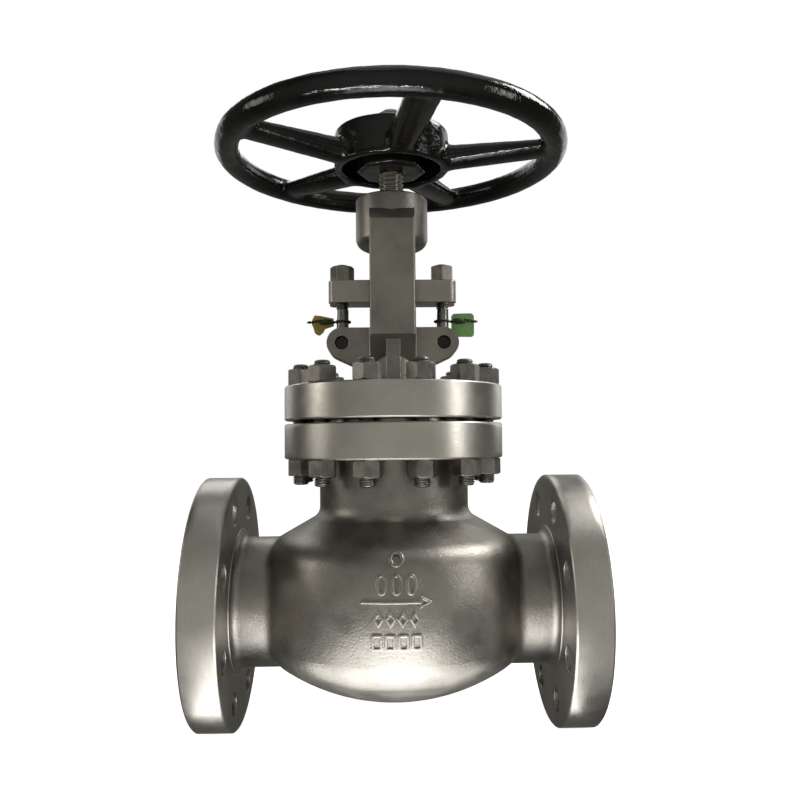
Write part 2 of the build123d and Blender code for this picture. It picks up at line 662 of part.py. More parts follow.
NODES = {
    "body": body,
    "seat_ring": seat_ring,
    "bonnet_gasket": bonnet_gasket,
    "bonnet": bonnet,
    "bonnet_studs": bonnet_studs,
    "bonnet_nuts_upper": lambda: bonnet_nuts(BONNET_FLANGE_TOP),
    "bonnet_nuts_lower": lambda: bonnet_nuts(BODY_FLANGE_BOTTOM - STUD_NUT_HIGH),
    "backseat_bushing": backseat_bushing,
    "packing_washer": packing_washer,
    "packing_rings": packing_rings,
    "gland_follower": gland_follower,
    "gland_flange": gland_flange,
    "eyebolt_left": lambda: eyebolt(-1),
    "eyebolt_right": lambda: eyebolt(1),
    "eyebolt_pin_left": lambda: eyebolt_pin(-1),
    "eyebolt_pin_right": lambda: eyebolt_pin(1),
    "gland_nut_left": lambda: gland_nut(-1),
    "gland_nut_right": lambda: gland_nut(1),
    "yoke_nut": yoke_nut,
    "yoke_nut_screw": yoke_nut_screw,
    "stem": stem,
    "disc": disc,
    "disc_thrust_plate": disc_thrust_plate,
    "disc_nut": disc_nut,
    "handwheel": handwheel,
    "handwheel_key": lambda: key_solid(0),
    "handwheel_washer": handwheel_washer,
    "handwheel_nut": handwheel_nut,
    "tag_wire_left": lambda: tag_wire(-1),
    "tag_wire_right": lambda: tag_wire(1),
    "tag_green": tag_green,
    "tag_yellow": tag_yellow,
}

os.makedirs("parts", exist_ok=True)
for name, make in NODES.items():
    made = make()
    solids = made if isinstance(made, list) else [made]
    shifted = [Pos(FACE_TO_FACE / 2, 0, 0) * solid for solid in solids]
    node = Compound(children=shifted) if len(shifted) > 1 else shifted[0]
    export_step(node, f"parts/{name}.step")
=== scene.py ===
import json
from math import cos, floor, pi, radians, sin, sqrt, tan

import bmesh
import bpy
from mathutils import Matrix, Vector, noise


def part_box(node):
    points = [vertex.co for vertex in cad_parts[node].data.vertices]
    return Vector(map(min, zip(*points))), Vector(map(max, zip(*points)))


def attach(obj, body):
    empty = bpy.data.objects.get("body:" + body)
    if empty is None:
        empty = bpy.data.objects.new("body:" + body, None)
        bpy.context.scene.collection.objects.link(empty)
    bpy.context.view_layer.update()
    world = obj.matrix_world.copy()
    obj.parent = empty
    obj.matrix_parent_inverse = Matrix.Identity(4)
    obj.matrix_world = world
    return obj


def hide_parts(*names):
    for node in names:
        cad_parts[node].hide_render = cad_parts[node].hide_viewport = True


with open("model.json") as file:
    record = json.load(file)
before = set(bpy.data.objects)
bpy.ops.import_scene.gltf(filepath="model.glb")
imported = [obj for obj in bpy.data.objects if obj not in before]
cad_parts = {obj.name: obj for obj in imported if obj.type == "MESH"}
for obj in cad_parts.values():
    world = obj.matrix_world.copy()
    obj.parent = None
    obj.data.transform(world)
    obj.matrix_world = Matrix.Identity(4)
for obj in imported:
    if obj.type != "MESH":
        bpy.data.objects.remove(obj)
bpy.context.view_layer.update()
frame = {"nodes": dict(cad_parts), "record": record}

# Places read from the frame, in metres. The stem axis is the line x = AXIS_X, y = 0, and the pipe
# axis is the line y = 0, z = 0.
BODY_LOW, BODY_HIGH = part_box("body")
STUDS_LOW, STUDS_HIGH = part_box("bonnet_studs")
STEM_LOW, STEM_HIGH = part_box("stem")
WHEEL_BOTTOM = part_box("handwheel")[0].z
AXIS_X = (BODY_LOW.x + BODY_HIGH.x) / 2
FLOOR_Z = BODY_LOW.z

# Where the castings' tooled surfaces start or end: metres from the stem axis for the end flanges
# and their raised faces, and above the pipe axis for the bonnet joint
FLANGE_BACK = 0.171
RAISED_FACE = 0.2155
JOINT_BOTTOM = 0.1573
BONNET_FLANGE_TOP = 0.2373

# Details that no box gives
BONNET_FLANGE_THICK = 0.0378
GROOVE_PITCH = 0.0013
GASKET_TURN_PITCH = 0.0011


# ---------------------------------------------------------------- material graphs

# Metres of pattern for each radian round a turned surface: small, so tool marks run round it
LATHE_DRIFT = 0.006
BEVEL_SAMPLES = 6
# Dot product of the flat and the rounded normal where wear starts, and where it is complete
EDGE_FLAT = 0.995
EDGE_WORN = 0.9


class Graph:
    """A material's node tree, with short calls for making and joining its nodes."""

    def __init__(self, name):
        self.material = bpy.data.materials.new(name)
        self.material.use_nodes = True
        self.tree = self.material.node_tree
        self.shader = self.tree.nodes["Principled BSDF"]
        self.place = self.node("ShaderNodeTexCoord").outputs["Object"]

    def node(self, kind, inputs=None, **settings):
        made = self.tree.nodes.new(kind)
        for key, value in settings.items():
            setattr(made, key, value)
        for key, value in (inputs or {}).items():
            self.put(made.inputs[key], value)
        return made

    def put(self, socket, value):
        if isinstance(value, bpy.types.NodeSocket):
            self.tree.links.new(value, socket)
        else:
            socket.default_value = value

    def set(self, **values):
        """Sets the shader's own sockets; underscores in a name stand for spaces."""
        for key, value in values.items():
            self.put(self.shader.inputs[key.replace("_", " ")], value)

    def math(self, operation, a, b=0.0):
        made = self.node("ShaderNodeMath", operation=operation)
        self.put(made.inputs[0], a)
        self.put(made.inputs[1], b)
        return made.outputs[0]

    def parts(self):
        return self.node("ShaderNodeSeparateXYZ", {"Vector": self.place}).outputs

    def noise(self, scale, detail=3.0, rough=0.5, place=None):
        made = self.node("ShaderNodeTexNoise", {
            "Vector": place or self.place, "Scale": scale, "Detail": detail, "Roughness": rough,
        })
        return made.outputs["Fac"]

    def cells(self, scale):
        made = self.node("ShaderNodeTexVoronoi", {"Vector": self.place, "Scale": scale})
        return made.outputs["Distance"]

    def ramp(self, value, low, high, start=0.0, end=1.0):
        made = self.node("ShaderNodeMapRange", {
            "Value": value, "From Min": low, "From Max": high, "To Min": start, "To Max": end,
        })
        return made.outputs["Result"]

    def blend(self, share, a, b):
        """A colour between a and b."""
        made = self.node("ShaderNodeMix", data_type="RGBA")
        factor, _, _, _, _, _, first, second = made.inputs[:8]
        self.put(factor, share)
        self.put(first, a)
        self.put(second, b)
        return made.outputs[2]

    def mix(self, share, a, b):
        """A number between a and b."""
        made = self.node("ShaderNodeMix", data_type="FLOAT")
        self.put(made.inputs[0], share)
        self.put(made.inputs[2], a)
        self.put(made.inputs[3], b)
        return made.outputs[0]

    def bump(self, height, distance, strength=1.0, under=None):
        made = self.node("ShaderNodeBump", {"Height": height, "Distance": distance, "Strength": strength})
        if under:
            self.put(made.inputs["Normal"], under)
        return made.outputs["Normal"]

    def soft_edges(self, radius):
        """A surface normal that rounds the edges by that radius."""
        return self.node("ShaderNodeBevel", {"Radius": radius}, samples=BEVEL_SAMPLES).outputs["Normal"]

    def worn(self, radius):
        """1 along outer edges, 0 elsewhere."""
        rounded = self.soft_edges(radius)
        flat = self.node("ShaderNodeNewGeometry").outputs["Normal"]
        dot = self.node("ShaderNodeVectorMath", {0: rounded, 1: flat}, operation="DOT_PRODUCT")
        return self.ramp(dot.outputs["Value"], EDGE_FLAT, EDGE_WORN)

    def lathe(self, axis):
        """Coordinates that vary fast across a turned surface and slowly round it, and the radius."""
        parts = self.parts()
        if axis == "X":
            along, a, b = parts["X"], parts["Y"], parts["Z"]
        else:
            along, a, b = parts["Z"], self.math("SUBTRACT", parts["X"], AXIS_X), parts["Y"]
        squares = self.math("ADD", self.math("MULTIPLY", a, a), self.math("MULTIPLY", b, b))
        radius = self.math("SQRT", squares)
        round_it = self.math("MULTIPLY", self.math("ARCTAN2", a, b), LATHE_DRIFT)
        place = self.node("ShaderNodeCombineXYZ", {"X": along, "Y": radius, "Z": round_it}).outputs[0]
        return place, radius


def grey(value, warm=0.0):
    """A grey of that brightness, as a colour; warm moves it towards yellow."""
    return (value * (1 + warm), value, value * (1 - 2 * warm), 1)


# ---------------------------------------------------------------- materials

# Widths of the soft corners on castings
PLAIN_ROUNDING = 0.0009
CORNER_ROUNDING = 0.0012
PIPE_ROUNDING = 0.009
NECK_ROUNDING = 0.012


def casting(name, machined, light=1.0, rounding=None, grooves=None):
    """Pickled and blasted cast stainless steel. machined is a function of the graph that gives the
    share of a tooled surface (0 cast, 1 turned) and its lathe coordinates. rounding and grooves are
    functions of the graph too, for the width of soft corners and the height of gasket grooves."""
    g = Graph(name)
    share, lathe_place = machined(g)
    blotch = g.noise(scale=11, detail=4, rough=0.62)
    cloud = g.noise(scale=38, detail=3, rough=0.6)
    grain = g.noise(scale=520, detail=3, rough=0.6)
    peen = g.cells(scale=330)
    lines = g.noise(scale=1500, detail=2, rough=0.5, place=lathe_place)
    dark, pale = grey(0.21 * light, 0.055), grey(0.34 * light, 0.05)
    pale_cloud, pit = grey(0.34 * light, 0.045), grey(0.12 * light, 0.05)
    cast = g.blend(g.ramp(blotch, low=0.36, high=0.66), dark, pale)
    cast = g.blend(g.ramp(cloud, low=0.4, high=0.7, start=0.0, end=0.5), cast, pale_cloud)
    cast = g.blend(g.ramp(grain, low=0.62, high=0.75, start=0.0, end=0.6), cast, pit)
    tooled_dark, tooled_pale = grey(0.46, 0.045), grey(0.60, 0.04)
    tool_mark, worn_edge = grey(0.38, 0.045), grey(0.66, 0.03)
    tooled = g.blend(g.ramp(blotch, low=0.35, high=0.65), tooled_dark, tooled_pale)
    tooled = g.blend(g.ramp(lines, low=0.55, high=0.75, start=0.0, end=0.45), tooled, tool_mark)
    tone = g.blend(share, cast, tooled)
    wear = 0.6
    tone = g.blend(g.math("MULTIPLY", g.worn(radius=0.0012), wear), tone, worn_edge)
    cast_spread = g.math("ADD", cloud, g.math("MULTIPLY", grain, 0.5))
    cast_rough = g.ramp(cast_spread, low=0.5, high=1.0, start=0.34, end=0.48)
    tooled_rough = g.ramp(g.math("ADD", cloud, lines), low=0.7, high=1.3, start=0.27, end=0.40)
    surface = g.soft_edges(rounding(g) if rounding else PLAIN_ROUNDING)
    surface = g.bump(cloud, distance=0.0012, strength=g.mix(share, 0.35, 0.04), under=surface)
    dents = g.ramp(peen, low=0.0, high=0.5)
    surface = g.bump(dents, distance=0.00035, strength=g.mix(share, 0.3, 0.05), under=surface)
    surface = g.bump(grain, distance=0.0004, strength=g.mix(share, 0.38, 0.12), under=surface)
    surface = g.bump(lines, distance=0.00005, strength=g.mix(share, 0.0, 0.6), under=surface)
    if grooves:
        surface = g.bump(grooves(g), distance=0.00012, strength=0.5, under=surface)
    roughness = g.mix(share, cast_rough, tooled_rough)
    g.set(Base_Color=tone, Metallic=1.0, Roughness=roughness, Normal=surface)
    return g.material


def out_from_stem(g):
    """Distance along the pipe from the stem axis."""
    return g.math("ABSOLUTE", g.math("SUBTRACT", g.parts()["X"], AXIS_X))


def edge_rounding(g):
    """Rounding of the body's corners: wide where the necks grow out of the belly."""
    out = out_from_stem(g)
    height = g.parts()["Z"]
    from_belly = g.ramp(out, low=0.085, high=0.110, start=CORNER_ROUNDING, end=PIPE_ROUNDING)
    to_flange = g.ramp(out, low=0.150, high=FLANGE_BACK - 0.002, start=PIPE_ROUNDING, end=PLAIN_ROUNDING)
    up_neck = g.ramp(height, low=0.076, high=0.095, start=CORNER_ROUNDING, end=NECK_ROUNDING)
    to_joint = g.ramp(height, low=0.140, high=0.156, start=NECK_ROUNDING, end=PLAIN_ROUNDING)
    by_pipe = g.math("MINIMUM", from_belly, to_flange)
    by_neck = g.math("MINIMUM", up_neck, to_joint)
    return g.math("MAXIMUM", by_pipe, by_neck)


def body_machining(g):
    """The end flanges are turned about the pipe axis and the bonnet joint about the stem."""
    ends = g.ramp(out_from_stem(g), low=FLANGE_BACK + 0.0002, high=FLANGE_BACK + 0.0010)
    joint = g.ramp(g.parts()["Z"], low=JOINT_BOTTOM - 0.0008, high=JOINT_BOTTOM - 0.0002)
    by_pipe, _ = g.lathe("X")
    by_stem, _ = g.lathe("Z")
    place = g.node("ShaderNodeMix", data_type="VECTOR")
    factor, _, _, _, first, second = place.inputs[:6]
    g.put(factor, ends)
    g.put(first, by_stem)
    g.put(second, by_pipe)
    return g.math("MAXIMUM", ends, joint), place.outputs[1]


def face_grooves(g):
    """Concentric gasket grooves on the raised faces of the end flanges."""
    _, radius = g.lathe("X")
    on_face = g.math("GREATER_THAN", out_from_stem(g), RAISED_FACE)
    wave = g.math("SINE", g.math("MULTIPLY", radius, 2 * pi / GROOVE_PITCH))
    return g.math("MULTIPLY", on_face, wave)


def bonnet_machining(g):
    """The bonnet's flange is turned about the stem; its neck, ears and yoke are as cast."""
    place, _ = g.lathe("Z")
    height = g.parts()["Z"]
    return g.ramp(height, low=BONNET_FLANGE_TOP + 0.0008, high=BONNET_FLANGE_TOP + 0.0002), place


def no_machining(g):
    """As cast all over."""
    return 0.0, g.place


def turned_steel(name, tone_value, rough_low, rough_high):
    """Turned stainless steel with fine tool lines round the stem axis."""
    g = Graph(name)
    place, _ = g.lathe("Z")
    lines = g.noise(scale=1600, detail=2, rough=0.5, place=place)
    smear = g.noise(scale=14, detail=3, rough=0.6)
    dark, pale = grey(tone_value * 0.8, 0.04), grey(tone_value * 1.1, 0.04)
    tone = g.blend(g.ramp(smear, low=0.35, high=0.65), dark, pale)
    rough = g.ramp(g.math("ADD", lines, smear), low=0.7, high=1.3, start=rough_low, end=rough_high)
    surface = g.bump(lines, distance=0.00004, strength=0.5)
    g.set(Base_Color=tone, Metallic=1.0, Roughness=rough, Normal=surface)
    return g.material


def forged_steel(name, tone_value, rough_low, rough_high, warm=0.03, edge_tone=0.6):
    """Forged or rolled fastener steel: small scuffs, pits and brighter edges."""
    g = Graph(name)
    smear = g.noise(scale=70, detail=3, rough=0.6)
    grain = g.noise(scale=900, detail=3, rough=0.6)
    dark, pale = grey(tone_value * 0.72, warm), grey(tone_value * 1.15, warm)
    pit, wear = grey(tone_value * 0.45, warm), 0.6
    tone = g.blend(g.ramp(smear, low=0.35, high=0.65), dark, pale)
    tone = g.blend(g.ramp(grain, low=0.6, high=0.72, start=0.0, end=0.5), tone, pit)
    tone = g.blend(g.math("MULTIPLY", g.worn(radius=0.0006), wear), tone, grey(edge_tone, warm))
    rough = g.ramp(g.math("ADD", grain, smear), low=0.7, high=1.3, start=rough_low, end=rough_high)
    surface = g.bump(grain, distance=0.0003, strength=0.35, under=g.soft_edges(radius=0.0004))
    g.set(Base_Color=tone, Metallic=1.0, Roughness=rough, Normal=surface)
    return g.material


def gloss_black():
    """Thick gloss black paint, rippled over a rough casting."""
    g = Graph("black_paint")
    peel = g.noise(scale=520, detail=2, rough=0.5)
    lumps = g.noise(scale=190, detail=3, rough=0.55)
    drift = g.noise(scale=25, detail=3)
    deep, dusty = (0.002, 0.002, 0.002, 1), (0.005, 0.0048, 0.0043, 1)
    tone = g.blend(g.ramp(drift, low=0.35, high=0.65), deep, dusty)
    rough = g.ramp(lumps, low=0.3, high=0.7, start=0.06, end=0.12)
    surface = g.bump(lumps, distance=0.0007, strength=0.5)
    surface = g.bump(peel, distance=0.0003, strength=0.5, under=surface)
    g.set(Base_Color=tone, Roughness=rough, Normal=surface, Specular_IOR_Level=0.42)
    return g.material


def bronze():
    """Turned bronze, browner in patches."""
    g = Graph("bronze")
    place, _ = g.lathe("Z")
    lines = g.noise(scale=1500, detail=2, rough=0.5, place=place)
    patches = g.noise(scale=60, detail=3)
    brown, yellow = (0.30, 0.17, 0.07, 1), (0.48, 0.30, 0.14, 1)
    tone = g.blend(g.ramp(patches, low=0.35, high=0.65), brown, yellow)
    rough = g.ramp(lines, low=0.3, high=0.7, start=0.3, end=0.42)
    surface = g.bump(lines, distance=0.00005, strength=0.5)
    g.set(Base_Color=tone, Metallic=1.0, Roughness=rough, Normal=surface)
    return g.material


def graphite():
    """Braided graphite packing."""
    g = Graph("graphite")
    weave = g.cells(scale=900)
    crease, strand = (0.018, 0.018, 0.02, 1), (0.06, 0.06, 0.065, 1)
    tone = g.blend(g.ramp(weave, low=0.1, high=0.6), crease, strand)
    rough = g.ramp(weave, low=0.1, high=0.6, start=0.45, end=0.65)
    surface = g.bump(weave, distance=0.0002, strength=0.6)
    g.set(Base_Color=tone, Roughness=rough, Normal=surface)
    return g.material


def gasket():
    """Spiral-wound strip: steel and graphite turns by radius."""
    g = Graph("gasket")
    _, radius = g.lathe("Z")
    turns = g.math("SINE", g.math("MULTIPLY", radius, 2 * pi / GASKET_TURN_PITCH))
    filler, strip = (0.03, 0.03, 0.03, 1), grey(0.42, 0.03)
    tone = g.blend(g.ramp(turns, low=-0.2, high=0.2), filler, strip)
    rough = g.ramp(turns, low=-1, high=1, start=0.6, end=0.35)
    surface = g.bump(turns, distance=0.0001, strength=0.5)
    g.set(Base_Color=tone, Metallic=0.8, Roughness=rough, Normal=surface)
    return g.material


def tag_plastic(name, colour, see_through):
    """Thin tinted plastic: cloudy colour, small scuffs and light that passes through."""
    g = Graph(name)
    cloud = g.noise(scale=140, detail=3, rough=0.6)
    scuff = g.noise(scale=900, detail=3, rough=0.6)
    deepest = 0.7
    deep, full = tuple(c * deepest for c in colour) + (1,), tuple(colour) + (1,)
    tone = g.blend(g.ramp(cloud, low=0.3, high=0.7), deep, full)
    rough = g.ramp(scuff, low=0.3, high=0.7, start=0.25, end=0.5)
    surface = g.bump(cloud, distance=0.0006, strength=0.4)
    g.set(Base_Color=tone, Roughness=rough, Normal=surface)
    g.set(Transmission_Weight=see_through, IOR=1.46)
    return g.material


def wire_coat():
    """Dark olive coated wire."""
    g = Graph("dark_wire")
    grain = g.noise(scale=700, detail=3, rough=0.6)
    dark, olive = (0.014, 0.020, 0.006, 1), (0.05, 0.062, 0.020, 1)
    tone = g.blend(g.ramp(grain, low=0.3, high=0.7), dark, olive)
    rough = g.ramp(grain, low=0.3, high=0.7, start=0.35, end=0.55)
    surface = g.bump(grain, distance=0.0002, strength=0.5)
    g.set(Base_Color=tone, Roughness=rough, Normal=surface)
    return g.material


def floor_paint():
    """Pale matte studio floor, lit from within so that it stays even out to the horizon."""
    g = Graph("floor_paint")
    drift = g.noise(scale=0.8, detail=2, rough=0.5)
    darker, paler = (0.80, 0.80, 0.79, 1), (0.82, 0.82, 0.81, 1)
    tone = g.blend(g.ramp(drift, low=0.3, high=0.7), darker, paler)
    g.set(Base_Color=tone, Roughness=0.85, Specular_IOR_Level=0.0)
    g.set(Emission_Color=(1.0, 0.995, 0.985, 1), Emission_Strength=FLOOR_GLOW)
    return g.material


# ---------------------------------------------------------------- mesh helpers

SHARP_ANGLE = radians(38)
# Points round a turned or threaded piece
AROUND = 48
NUT_AROUND = 96
BOLT_AROUND = 40
STEM_AROUND = 64
# Thread form: depth as a share of the pitch, and the flat root and the flank as shares of its wave
THREAD_DEPTH = 0.6
THREAD_FLAT = 0.12
THREAD_FLANK = 0.72


def piece(name, mesh, material, body, slot_name, *replaced):
    """Makes an object of a finished mesh, gives it its material and hangs it on its CAD body."""
    mesh.materials.clear()
    mesh.materials.append(material)
    mesh.polygons.foreach_set("use_smooth", [True] * len(mesh.polygons))
    mesh.set_sharp_from_angle(angle=SHARP_ANGLE)
    made = bpy.data.objects.new(name, mesh)
    bpy.context.scene.collection.objects.link(made)
    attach(made, body)
    if replaced:
        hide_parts(*replaced)
    return made


def build_mesh(name, groups):
    """One mesh from groups of (points, faces)."""
    points, faces = [], []
    for group_points, group_faces in groups:
        start = len(points)
        points += group_points
        faces += [[start + index for index in face] for face in group_faces]
    mesh = bpy.data.meshes.new(name)
    mesh.from_pydata(points, [], faces)
    mesh.validate()
    return mesh


def revolved(rows, centre, closed=False, around=AROUND, turn=0.0):
    """Surface through rows, each (radius or function of the angle, height), about a vertical line.
    A closed surface joins the last row to the first; an open one is capped at both ends."""
    points = []
    for radius, height in rows:
        for step in range(around):
            angle = 2 * pi * step / around
            reach = radius(angle) if callable(radius) else radius
            points.append((
                centre[0] + reach * cos(angle + turn), centre[1] + reach * sin(angle + turn), height,
            ))
    count = len(rows)
    faces = []
    for row in range(count if closed else count - 1):
        upper = (row + 1) % count
        for step in range(around):
            ahead = (step + 1) % around
            low, high = row * around, upper * around
            faces.append([low + step, low + ahead, high + ahead, high + step])
    if not closed:
        faces.append(list(range(around))[::-1])
        faces.append([(count - 1) * around + step for step in range(around)])
    return points, faces


def steps(low, high, spacing):
    """Evenly spaced numbers from low to high, both included."""
    count = max(1, round((high - low) / spacing))
    return [low + (high - low) * index / count for index in range(count + 1)]


def thread(radius, pitch, depth, height, limit):
    """Right-hand V thread at one height, as a function of the angle, cut back to the limit radius."""
    def reach(angle):
        turn = height / pitch - angle / (2 * pi)
        wave = abs(2 * (turn - floor(turn)) - 1)
        share = min(1, max(0, (wave - THREAD_FLAT) / THREAD_FLANK))
        return min(limit, radius - depth * (1 - share))
    return reach


def threaded_rod(radius, pitch, bottom, top, threads, bevel):
    """Rows of a rod from bottom to top, rounded at both ends, with thread over each (low, high)."""
    depth = THREAD_DEPTH * pitch
    rows_per_turn, extra_row = 9, 0.35
    rows = []
    heights = {bottom + bevel * extra_row, top - bevel * extra_row}
    for low, high in threads:
        heights.update(steps(low, high, pitch / rows_per_turn))
    heights.update(steps(bottom, bottom + bevel, bevel / 3) + steps(top - bevel, top, bevel / 3))
    for height in sorted(heights):
        end = min(height - bottom, top - height)
        limit = radius - bevel + sqrt(max(0, bevel ** 2 - max(0, bevel - end) ** 2))
        inside = any(low <= height <= high for low, high in threads)
        if inside:
            rows.append((thread(radius, pitch, depth, height, limit), height))
        else:
            rows.append((min(radius, limit), height))
    return rows


def soft_least(a, b, round_r):
    """The lesser of two radii, with the corner between them rounded."""
    gap = max(0, round_r - abs(a - b))
    return min(a, b) - gap * gap / (4 * round_r)


def hexagon(flats, corner_round):
    """Radius of a hexagon with rounded corners, as a function of the angle."""
    half = flats / 2

    def reach(angle):
        offset = angle % (pi / 3) - pi / 6
        beside = half / cos(abs(offset) - pi / 3)
        return soft_least(half / cos(offset), beside, corner_round)
    return reach


def nut_rows(flats, height, bore_r, bottom):
    """Rows round a hexagon nut's section: outer faces with 30 degree corners, then the bore."""
    six = hexagon(flats, NUT_CORNER_ROUND)
    face_r = flats / 2 * NUT_FACE_SHARE

    def outer(z):
        cone = face_r + min(z, height - z) * tan(NUT_CUT_ANGLE)
        return lambda angle: soft_least(six(angle), cone, NUT_CORNER_ROUND)

    cut = NUT_CORNER_CUT
    fine, coarse = cut / 6, 0.003
    levels = steps(0, cut, fine) + steps(cut, height - cut, coarse)[1:-1] + steps(height - cut, height, fine)
    rows = [(outer(z), bottom + z) for z in levels]
    rows.append((bore_r + NUT_LIP, bottom + height))
    rows.append((bore_r, bottom + height - NUT_LIP))
    rows.append((bore_r, bottom + NUT_LIP))
    rows.append((bore_r + NUT_LIP, bottom))
    return rows


def swept(points, radius, around=10):
    """Round wire along a line of points. radius is a number or a function of the share of the way."""
    line = [Vector(p) for p in points]
    side = Vector((0, 0, 1)).cross(line[1] - line[0]).normalized()
    rings, faces = [], []
    for index, centre in enumerate(line):
        ahead = (line[min(index + 1, len(line) - 1)] - line[max(index - 1, 0)]).normalized()
        side = (side - ahead * side.dot(ahead)).normalized()
        lift = ahead.cross(side)
        share = index / (len(line) - 1)
        reach = radius(share) if callable(radius) else radius
        for step in range(around):
            angle = 2 * pi * step / around
            rings.append(tuple(centre + reach * (cos(angle) * side + sin(angle) * lift)))
    for row in range(len(line) - 1):
        for step in range(around):
            ahead_step = (step + 1) % around
            low, high = row * around, (row + 1) * around
            faces.append([low + step, low + ahead_step, high + ahead_step, high + step])
    faces.append(list(range(around))[::-1])
    faces.append([(len(line) - 1) * around + step for step in range(around)])
    return rings, faces


def evaluated(source, name):
    """The mesh of an object with its modifiers applied."""
    graph = bpy.context.evaluated_depsgraph_get()
    mesh = bpy.data.meshes.new_from_object(source.evaluated_get(graph))
    mesh.name = name
    bpy.data.objects.remove(source)
    return mesh


# ---------------------------------------------------------------- pieces

STUD_PITCH = 0.0025
STUD_BEVEL = 0.0040
STUD_R = 0.009
STUDS = 12
NUT_FLATS = 0.027
NUT_TURN_STEP = radians(23)
STUD_TURNS = 3
NUT_CORNER_ROUND = 0.0006
NUT_FACE_SHARE = 0.965
NUT_CORNER_CUT = 0.0022
NUT_CUT_ANGLE = radians(60)
NUT_LIP = 0.0010
THREAD_PLAY = 0.00005
GLAND_NUT_FLATS = 0.024
GLAND_NUT_BORE_R = 0.00715
WHEEL_NUT_FLATS = 0.036
WHEEL_NUT_BORE_R = 0.01205


def stud_centres():
    """Centres of the studs, from the box that holds them all."""
    first = pi / STUDS
    half_width = (STUDS_HIGH.x - STUDS_LOW.x) / 2
    circle_r = (half_width - STUD_R) / cos(first)
    for index in range(STUDS):
        angle = first + index * 2 * pi / STUDS
        yield index, (AXIS_X + circle_r * cos(angle), circle_r * sin(angle)), angle


def bonnet_studs(material):
    """All the bonnet studs, threaded where they show: below, between and above the flanges."""
    low, high = STUDS_LOW.z, STUDS_HIGH.z
    upper_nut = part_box("bonnet_nuts_upper")[1].z
    lower_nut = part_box("bonnet_nuts_lower")[0].z
    gap_low, gap_high = BODY_HIGH.z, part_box("bonnet_nuts_upper")[0].z - BONNET_FLANGE_THICK
    threads = [
        (low, lower_nut + STUD_PITCH), (gap_low - STUD_PITCH, gap_high + STUD_PITCH),
        (upper_nut - STUD_PITCH, high),
    ]
    rows = threaded_rod(STUD_R, STUD_PITCH, low, high, threads, STUD_BEVEL)
    groups = [revolved(rows, centre, turn=angle * STUD_TURNS) for _, centre, angle in stud_centres()]
    piece("bonnet_studs_threaded", build_mesh("bonnet_studs_threaded", groups), material,
          "valve_shell", "stud_steel", "bonnet_studs")


def bonnet_nuts(node, material):
    """One ring of bonnet nuts, each turned differently."""
    low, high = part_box(node)
    rows = nut_rows(NUT_FLATS, high.z - low.z, STUD_R + THREAD_PLAY, low.z)
    groups = [
        revolved(rows, centre, closed=True, around=NUT_AROUND, turn=angle + index * NUT_TURN_STEP)
        for index, centre, angle in stud_centres()
    ]
    name = node + "_rounded"
    piece(name, build_mesh(name, groups), material, "valve_shell", "nut_steel", node)


def single_nut(node, body, flats, bore_r, turn, material):
    """One nut in the place of that node, turned by that many degrees."""
    low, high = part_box(node)
    centre = ((low.x + high.x) / 2, (low.y + high.y) / 2)
    rows = nut_rows(flats, high.z - low.z, bore_r, low.z)
    name = node + "_rounded"
    mesh = build_mesh(name, [revolved(rows, centre, closed=True, around=NUT_AROUND, turn=radians(turn))])
    piece(name, mesh, material, body, "nut_steel", node)


def eyebolt(node, material):
    """Forged eye with a rounded rim, and a shank threaded over its upper part."""
    low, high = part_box(node)
    centre_x = (low.x + high.x) / 2
    eye_r = (high.x - low.x) / 2
    half_thick = (high.y - low.y) / 2
    eye_z = low.z + eye_r
    hole_r, hole_cut, edge = 0.0077, 0.0008, 0.003
    shank_r, shank_start, pitch, end_round = 0.007, 0.001, 0.002, 0.0015
    thread_bottom = 0.326
    section = [
        (hole_r, -half_thick + hole_cut), (hole_r, half_thick - hole_cut), (hole_r + hole_cut, half_thick),
    ]
    for share in steps(0, pi / 2, pi / 10):
        section.append((eye_r - edge + edge * sin(share), half_thick - edge + edge * cos(share)))
    for share in steps(0, pi / 2, pi / 10):
        section.append((eye_r - edge + edge * cos(share), -half_thick + edge - edge * sin(share)))
    section.append((hole_r + hole_cut, -half_thick))
    ring, faces = revolved(section[::-1], (0, 0), closed=True)
    eye = [(centre_x + x, -z, eye_z + y) for x, y, z in ring], faces
    threads = [(thread_bottom, high.z)]
    rows = threaded_rod(shank_r, pitch, eye_z + hole_r + shank_start, high.z, threads, end_round)
    name = node + "_threaded"
    mesh = build_mesh(name, [eye, revolved(rows, (centre_x, 0), around=BOLT_AROUND)])
    piece(name, mesh, material, "valve_shell", "stud_steel", node)


STEM_R = 0.014
STEM_PITCH = 0.005
STEM_THREAD_DEPTH = 0.5
STEM_ROWS_PER_TURN = 16


